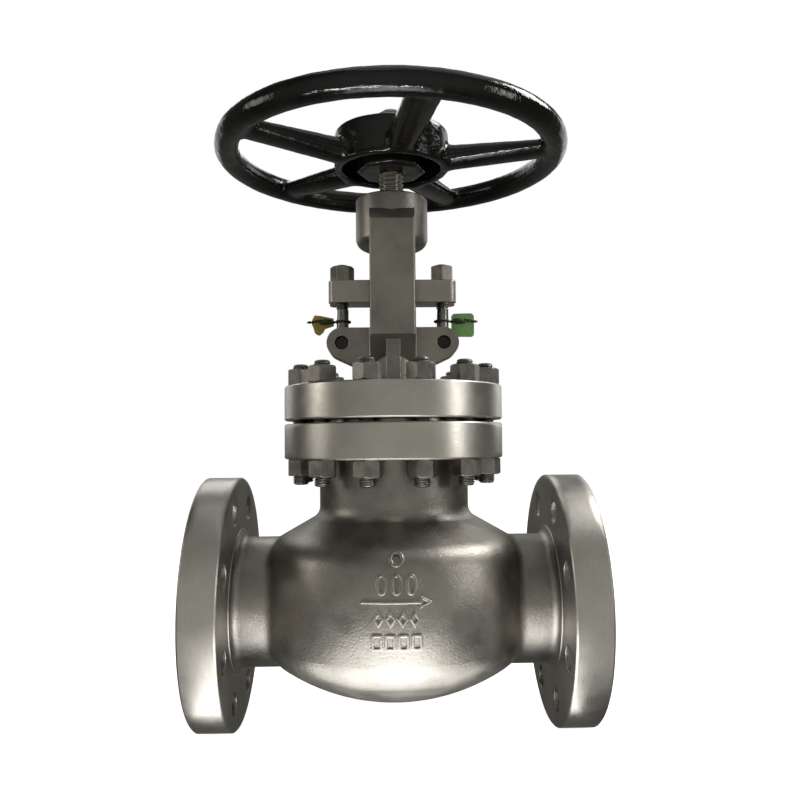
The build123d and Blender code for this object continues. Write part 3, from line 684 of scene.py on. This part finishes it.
def stem(material):
    """Stem with its head, collar and screw thread, turned down where the wheel sits."""
    head_r, head_high, head_cut, edge = 0.020, 0.010, 0.001, 0.0015
    collar_high, collar_top = 0.012, 0.1614
    collar_bottom = collar_top - collar_high
    thread_low, run_out, root_depth = 0.372, 0.001, 0.003
    spigot_r, hub = 0.01195, WHEEL_BOTTOM
    rows = [
        (head_r - head_cut, STEM_LOW.z), (head_r, STEM_LOW.z + head_cut), (head_r, STEM_LOW.z + head_high),
        (STEM_R, STEM_LOW.z + head_high), (STEM_R, collar_bottom), (head_r, collar_bottom),
        (head_r, collar_top - edge), (head_r - edge, collar_top), (STEM_R, collar_top),
    ]
    for height in steps(thread_low, hub - run_out, STEM_PITCH / STEM_ROWS_PER_TURN):
        fade = min(1, (height - thread_low) / STEM_PITCH)
        depth = STEM_THREAD_DEPTH * STEM_PITCH * fade
        rows.append((thread(STEM_R, STEM_PITCH, depth, height, STEM_R), height))
    rows += [
        (STEM_R - root_depth, hub), (spigot_r, hub), (spigot_r, STEM_HIGH.z - edge),
        (spigot_r - edge, STEM_HIGH.z),
    ]
    mesh = build_mesh("stem_threaded", [revolved(rows, (AXIS_X, 0), around=STEM_AROUND)])
    piece("stem_threaded", mesh, material, "stem_and_wheel", "machined_stainless", "stem")


GLOSS_LINE = "gloss_line_on"
WHEEL_VOXEL = 0.0018
WHEEL_BLENDING = 26
WHEEL_SINK = 0.0002
# The wheel's lumpy skin: scale of each noise and its height in metres
LUMPS = ((80, 0.00026), (240, 0.00006))


def handwheel(material):
    """The wheel's CAD shape with its joints blended and its surface lumpy, as a painted casting."""
    copy = bpy.data.objects.new("wheel_source", frame["nodes"]["handwheel"].data.copy())
    bpy.context.scene.collection.objects.link(copy)
    remesh = copy.modifiers.new("remesh", "REMESH")
    remesh.mode = "VOXEL"
    remesh.voxel_size = WHEEL_VOXEL
    blend = copy.modifiers.new("blend", "SMOOTH")
    blend.factor = 0.5
    blend.iterations = WHEEL_BLENDING
    mesh = evaluated(copy, "handwheel_casting")
    outward = [vertex.normal.copy() for vertex in mesh.vertices]
    for vertex, normal in zip(mesh.vertices, outward):
        lump = sum(noise.noise(vertex.co * scale) * height for scale, height in LUMPS)
        vertex.co += normal * (lump - WHEEL_SINK)
    casting_piece = piece("handwheel_casting", mesh, material, "stem_and_wheel", "black_paint", "handwheel")
    bpy.data.collections[GLOSS_LINE].objects.link(casting_piece)


STRAND_R = 0.0008
STRAND_AROUND = 8
WIRE_LOOP_R = 0.0085
WIRE_LOOP_MARGIN = 0.0013
WIRE_OVERLAP = 0.001
LOOP_TWISTS = 7
TAIL_TWIST = 26
# Waves along the tail and the seal: height in metres, and radians over the length
TAIL_SWAY = (0.0006, 5)
TAIL_SAG = (0.0012, 3.2)
TAIL_KINK = (0.0005, 9)
SEAL_RISE = (0.0006, 3)
SEAL_R = 0.0017
SEAL_LONG = 0.015
SEAL_SPAN = (0.3, 1.25)
SEAL_BLUNT_END = 0.04
SEAL_AROUND = 14


def wave(form, share):
    """Height of a sine wave, given as (height, radians in all), at that share of its length."""
    height, radians_in_all = form
    return height * sin(radians_in_all * share)


def seal_wire(side, node, material):
    """Two strands twisted round the eyebolt and on through the tag, with a crimped seal. side is 1
    for the right and -1 for the left."""
    low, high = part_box(node)
    to_bolt = WIRE_LOOP_R + WIRE_LOOP_MARGIN
    bolt_x = low.x + to_bolt if side > 0 else high.x - to_bolt
    height = (low.z + high.z) / 2
    tail_start = bolt_x + side * (WIRE_LOOP_R - WIRE_OVERLAP)
    tail_end = high.x if side > 0 else low.x
    groups = []
    for strand in (0, 1):
        points = []
        for angle in steps(radians(25), radians(335), radians(10)):
            twist = LOOP_TWISTS * angle + pi * strand
            reach = WIRE_LOOP_R + STRAND_R * cos(twist)
            points.append((
                bolt_x + side * reach * cos(angle), reach * sin(angle), height + STRAND_R * sin(twist),
            ))
        groups.append(swept(points, STRAND_R, STRAND_AROUND))
        points = []
        for share in steps(0, 1, 1 / 60):
            twist = TAIL_TWIST * share + pi * strand
            sway = wave(TAIL_SWAY, share)
            sag = wave(TAIL_SAG, share) - wave(TAIL_KINK, share)
            points.append((
                tail_start + share * (tail_end - tail_start), STRAND_R * cos(twist) + sway,
                height + sag + STRAND_R * sin(twist),
            ))
        groups.append(swept(points, STRAND_R, STRAND_AROUND))
    seal = [
        (tail_start + side * SEAL_LONG * share, 0.0, height + wave(SEAL_RISE, share))
        for share in steps(*SEAL_SPAN, 1 / 16)
    ]

    def seal_reach(share):
        return SEAL_R + SEAL_R * sin(pi * min(1, share + SEAL_BLUNT_END))

    groups.append(swept(seal, seal_reach, SEAL_AROUND))
    name = node + "_twisted"
    piece(name, build_mesh(name, groups), material, "valve_shell", "dark_wire", node)


TAG_THICK = 0.0012
TAG_CORNER = 0.004
TAG_RIPPLE = 0.0003
RIPPLES_ACROSS = 260
RIPPLES_UP = 190
TAG_TWIST = 0.6
GREEN_CURL = 9.0
YELLOW_CURL = 12.0
# The torn tag's corners as (across, up) from its middle
YELLOW_OUTLINE = [
    (-0.013, 0.003), (-0.0115, 0.0075), (-0.009, 0.0118), (-0.002, 0.0108), (0.006, 0.0090),
    (0.0128, 0.0078), (0.0118, 0.0030), (0.013, -0.0008), (0.008, -0.0026), (0.003, -0.0044),
    (0.0012, -0.0082), (-0.003, -0.0119), (-0.0062, -0.0112), (-0.0088, -0.0088), (-0.0104, -0.0030),
]


def bent_tag(outline, curl, material, slot_name, node):
    """Thin plate of that outline in the plane of the pipe and stem, curled a little."""
    low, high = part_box(node)
    centre = ((low.x + high.x) / 2, low.y, (low.z + high.z) / 2)
    name = node + "_bent"
    work = bmesh.new()
    corners = [work.verts.new((x, 0, z)) for x, z in outline]
    face = work.faces.new(corners)
    bmesh.ops.triangulate(work, faces=[face])
    for _ in range(3):
        bmesh.ops.subdivide_edges(work, edges=work.edges[:], cuts=1, use_grid_fill=True)
    sheet = work.faces[:]
    grown = bmesh.ops.extrude_face_region(work, geom=sheet)
    moved = [item for item in grown["geom"] if isinstance(item, bmesh.types.BMVert)]
    bmesh.ops.translate(work, verts=moved, vec=(0, TAG_THICK, 0))
    bmesh.ops.recalc_face_normals(work, faces=work.faces[:])
    for vertex in work.verts:
        x, y, z = vertex.co
        bend = curl * (x * x - TAG_TWIST * x * z)
        ripple = TAG_RIPPLE * sin(RIPPLES_ACROSS * x) * cos(RIPPLES_UP * z)
        vertex.co.y = y + bend + ripple
        vertex.co += Vector(centre)
    mesh = bpy.data.meshes.new(name)
    work.to_mesh(mesh)
    work.free()
    piece(name, mesh, material, "valve_shell", slot_name, node)


def rounded_outline(half_x, half_z, corner):
    """Corner-rounded rectangle as a loop of (x, z)."""
    loop = []
    for quarter, (sx, sz) in enumerate(((1, 1), (-1, 1), (-1, -1), (1, -1))):
        for share in steps(0, pi / 2, pi / 8):
            angle = quarter * pi / 2 + share
            across = sx * (half_x - corner) + corner * cos(angle)
            up = sz * (half_z - corner) + corner * sin(angle)
            loop.append((across, up))
    return loop


def tags(green, yellow):
    """A rounded green plate on the right wire and a torn yellow one on the left."""
    low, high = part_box("tag_green")
    outline = rounded_outline((high.x - low.x) / 2, (high.z - low.z) / 2, TAG_CORNER)
    bent_tag(outline, GREEN_CURL, green, "green_tag", "tag_green")
    bent_tag(YELLOW_OUTLINE, YELLOW_CURL, yellow, "yellow_tag", "tag_yellow")


# ---------------------------------------------------------------- camera, light and floor

# The camera's place in metres and its turns in degrees
CAMERA_PLACE = (AXIS_X - 0.0095, -0.8901, 0.1746)
CAMERA_PITCH = 3.09
CAMERA_YAW = 1.11
CAMERA_ROLL = -0.53
CAMERA_LENS = 35.34
CAMERA_SENSOR = 36
CAMERA_REACH = 100
FLOOR_REACH = 40
FLOOR_DROP = 0.0002
FLOOR_GLOW = 0.92
# Brightness of the room round the valve, and how far forward or back it starts and is full
ROOM_SIDE = 0.065
ROOM_FRONT = 0.325
ROOM_BACK = 0.16
FRONT_STARTS, FRONT_FULL = -0.1, -0.95
BACK_STARTS, BACK_FULL = 0.3, 1.0
ROOM_COLOUR = (1.0, 0.985, 0.90, 1)
WHITE = (1.0, 1.0, 1.0)
DAYLIGHT = (1.0, 0.99, 0.96)
WARM_LIGHT = (1.0, 0.97, 0.9)
LIGHT_TARGET = (AXIS_X, 0, 0.2)

# Lights in the room: name, place beside and before the stem axis and above the pipe axis, width
# and height, power in watts, colour
ROOM_LIGHTS = (
    ("window_right", (1.70, -0.76, 0.55), (0.34, 0.95), 5.5, DAYLIGHT),
    ("shoulder_right", (1.25, 0.30, 1.50), (0.7, 0.7), 18, DAYLIGHT),
    ("window_left", (-1.80, -0.27, 0.60), (0.5, 0.8), 3.6, WARM_LIGHT),
    ("ceiling", (0.3, 0.1, 2.6), (2.2, 2.2), 8, WHITE),
    ("back", (-0.3, 1.7, 1.5), (1.6, 0.9), 7, WHITE),
    ("back_left", (-1.3, 1.5, 0.8), (0.9, 1.2), 2.6, WHITE),
    ("back_right", (1.3, 1.5, 0.8), (0.9, 1.2), 3.5, WHITE),
)
# Light sent up by the floor: name, place beside and before the stem axis, height above the floor,
# size, power
FLOOR_LIGHTS = (
    ("floor_bounce", (-0.01, -0.27, 0.0005), (0.40, 0.36), 1.22),
    ("floor_bounce_middle", (0, -0.30, 0.0010), (0.20, 0.30), 0.33),
)
# A thin line of light on the floor that only the wheel's paint shows
EDGE_PLACE = (-0.20, -0.55, 0.002)
EDGE_TARGET = (-0.3, 0.4)
EDGE_SIZE = (0.8, 0.008)
EDGE_POWER = 6.5


def make_camera():
    """Camera a little under the middle of the valve, looking slightly up at it."""
    pitch, yaw, roll = radians(CAMERA_PITCH), radians(CAMERA_YAW), radians(CAMERA_ROLL)
    ahead = Vector((sin(yaw) * cos(pitch), cos(yaw) * cos(pitch), sin(pitch)))
    right = Vector((cos(yaw), -sin(yaw), 0))
    up = right.cross(ahead)
    tilted_right = cos(roll) * right + sin(roll) * up
    tilted_up = cos(roll) * up - sin(roll) * right
    camera = bpy.data.objects.new("camera", bpy.data.cameras.new("camera"))
    camera.data.sensor_width = CAMERA_SENSOR
    camera.data.lens = CAMERA_LENS
    camera.data.clip_end = CAMERA_REACH
    turn = Matrix((tilted_right, tilted_up, -ahead)).transposed().to_4x4()
    camera.matrix_world = Matrix.Translation(CAMERA_PLACE) @ turn
    bpy.context.scene.collection.objects.link(camera)
    bpy.context.scene.camera = camera


def soft_light(name, place, target, size, power, colour=WHITE):
    """Rectangular area light that the camera doesn't see."""
    data = bpy.data.lights.new(name, "AREA")
    data.shape = "RECTANGLE"
    data.size, data.size_y = size
    data.energy = power
    data.color = colour
    light = bpy.data.objects.new(name, data)
    light.location = place
    light.rotation_euler = (Vector(target) - Vector(place)).to_track_quat("-Z", "Y").to_euler()
    light.visible_camera = False
    bpy.context.scene.collection.objects.link(light)
    return light


def make_floor():
    """Floor for the camera only; the metal is lit from below by the floor lights instead."""
    reach = FLOOR_REACH
    low = FLOOR_Z - FLOOR_DROP
    mesh = bpy.data.meshes.new("floor")
    mesh.from_pydata(
        [(-reach, -reach, low), (reach, -reach, low), (reach, reach, low), (-reach, reach, low)],
        [], [(0, 1, 2, 3)],
    )
    ground = bpy.data.objects.new("floor", mesh)
    bpy.context.scene.collection.objects.link(ground)
    mesh.materials.append(floor_paint())
    ground.visible_glossy = False
    ground.visible_diffuse = False
    ground.visible_transmission = False


def make_world():
    """White behind the object, and for the metal to reflect a dim room, lighter at front and back."""
    world = bpy.data.worlds.new("studio")
    world.use_nodes = True
    bpy.context.scene.world = world
    tree = world.node_tree
    link = tree.links.new

    def rise(value, low, high, start, end):
        made = tree.nodes.new("ShaderNodeMapRange")
        for key, number in zip(("From Min", "From Max", "To Min", "To Max"), (low, high, start, end)):
            made.inputs[key].default_value = number
        link(value, made.inputs["Value"])
        return made.outputs["Result"]

    room = tree.nodes["Background"]
    room.inputs["Color"].default_value = ROOM_COLOUR
    place = tree.nodes.new("ShaderNodeTexCoord")
    split = tree.nodes.new("ShaderNodeSeparateXYZ")
    link(place.outputs["Generated"], split.inputs["Vector"])
    front = rise(split.outputs["Y"], FRONT_STARTS, FRONT_FULL, 0.0, ROOM_FRONT)
    back = rise(split.outputs["Y"], BACK_STARTS, BACK_FULL, ROOM_SIDE, ROOM_BACK)
    total = tree.nodes.new("ShaderNodeMath")
    link(front, total.inputs[0])
    link(back, total.inputs[1])
    link(total.outputs[0], room.inputs["Strength"])
    paper = tree.nodes.new("ShaderNodeBackground")
    paper.inputs["Color"].default_value = WHITE + (1,)
    path = tree.nodes.new("ShaderNodeLightPath")
    choose = tree.nodes.new("ShaderNodeMixShader")
    link(path.outputs["Is Camera Ray"], choose.inputs[0])
    link(room.outputs[0], choose.inputs[1])
    link(paper.outputs[0], choose.inputs[2])
    link(choose.outputs[0], tree.nodes["World Output"].inputs["Surface"])


def make_lights():
    """The room's lights, the floor's, and the thin line for the wheel's paint."""
    for name, (x, y, z), size, power, colour in ROOM_LIGHTS:
        soft_light(name, (AXIS_X + x, y, z), LIGHT_TARGET, size, power, colour)
    for name, (x, y, lift), size, power in FLOOR_LIGHTS:
        soft_light(name, (AXIS_X + x, y, FLOOR_Z + lift), (AXIS_X + x, y, 1), size, power)
    x, y, lift = EDGE_PLACE
    place = (AXIS_X + x, y, FLOOR_Z + lift)
    edge = soft_light("floor_edge", place, (place[0], *EDGE_TARGET), EDGE_SIZE, EDGE_POWER)
    edge.light_linking.receiver_collection = bpy.data.collections.new(GLOSS_LINE)


# ---------------------------------------------------------------- assembly

make_camera()
make_floor()
make_world()
make_lights()
bpy.context.scene.view_settings.view_transform = "Standard"

MACHINED = turned_steel("machined_stainless", tone_value=0.48, rough_low=0.22, rough_high=0.36)
NUT = forged_steel("nut_steel", tone_value=0.26, rough_low=0.34, rough_high=0.48, warm=0.05, edge_tone=0.45)
STUD = forged_steel("stud_steel", tone_value=0.24, rough_low=0.24, rough_high=0.38, warm=0.03, edge_tone=0.7)
# Painted shade: the pins get a near-black steel tone so that their ends read as shaded holes in the yoke
# ears
PIN_PAINTED_SHADE = forged_steel("pin_painted_shade", tone_value=0.05, rough_low=0.35, rough_high=0.5, warm=0.0, edge_tone=0.2)
BLACK = gloss_black()
GREEN = tag_plastic("green_tag", (0.42, 0.80, 0.30), see_through=0.5)
YELLOW = tag_plastic("yellow_tag", (0.68, 0.52, 0.13), see_through=0.4)
WIRE = wire_coat()
BY_SLOT = {
    "cast_stainless": casting("cast_stainless", no_machining),
    "machined_stainless": MACHINED,
    "nut_steel": NUT,
    "stud_steel": STUD,
    "bronze": bronze(),
    "black_paint": BLACK,
    "graphite": graphite(),
    "gasket": gasket(),
    "green_tag": GREEN,
    "yellow_tag": YELLOW,
    "dark_wire": WIRE,
}
BY_NODE = {
    "body": casting("cast_body", body_machining, rounding=edge_rounding, grooves=face_grooves),
    "bonnet": casting("cast_bonnet", bonnet_machining),
    "gland_flange": casting("cast_gland_flange", no_machining, light=1.3),
    # The eyebolt pins take the near-black tone that paints shade into their holes
    "eyebolt_pin_left": PIN_PAINTED_SHADE,
    "eyebolt_pin_right": PIN_PAINTED_SHADE,
}
for part in frame["record"]["subparts"]:
    node = frame["nodes"][part["node"]]
    node.data.materials.clear()
    node.data.materials.append(BY_NODE.get(part["node"]) or BY_SLOT[part["material_slot"]])

bonnet_studs(STUD)
bonnet_nuts("bonnet_nuts_upper", NUT)
bonnet_nuts("bonnet_nuts_lower", NUT)
single_nut("gland_nut_left", "nut_left", GLAND_NUT_FLATS, GLAND_NUT_BORE_R, turn=8, material=NUT)
single_nut("gland_nut_right", "nut_right", GLAND_NUT_FLATS, GLAND_NUT_BORE_R, turn=24, material=NUT)
single_nut("handwheel_nut", "stem_and_wheel", WHEEL_NUT_FLATS, WHEEL_NUT_BORE_R, turn=10, material=NUT)
eyebolt("eyebolt_left", STUD)
eyebolt("eyebolt_right", STUD)
stem(MACHINED)
handwheel(BLACK)
seal_wire(-1, "tag_wire_left", WIRE)
seal_wire(1, "tag_wire_right", WIRE)
tags(GREEN, YELLOW)
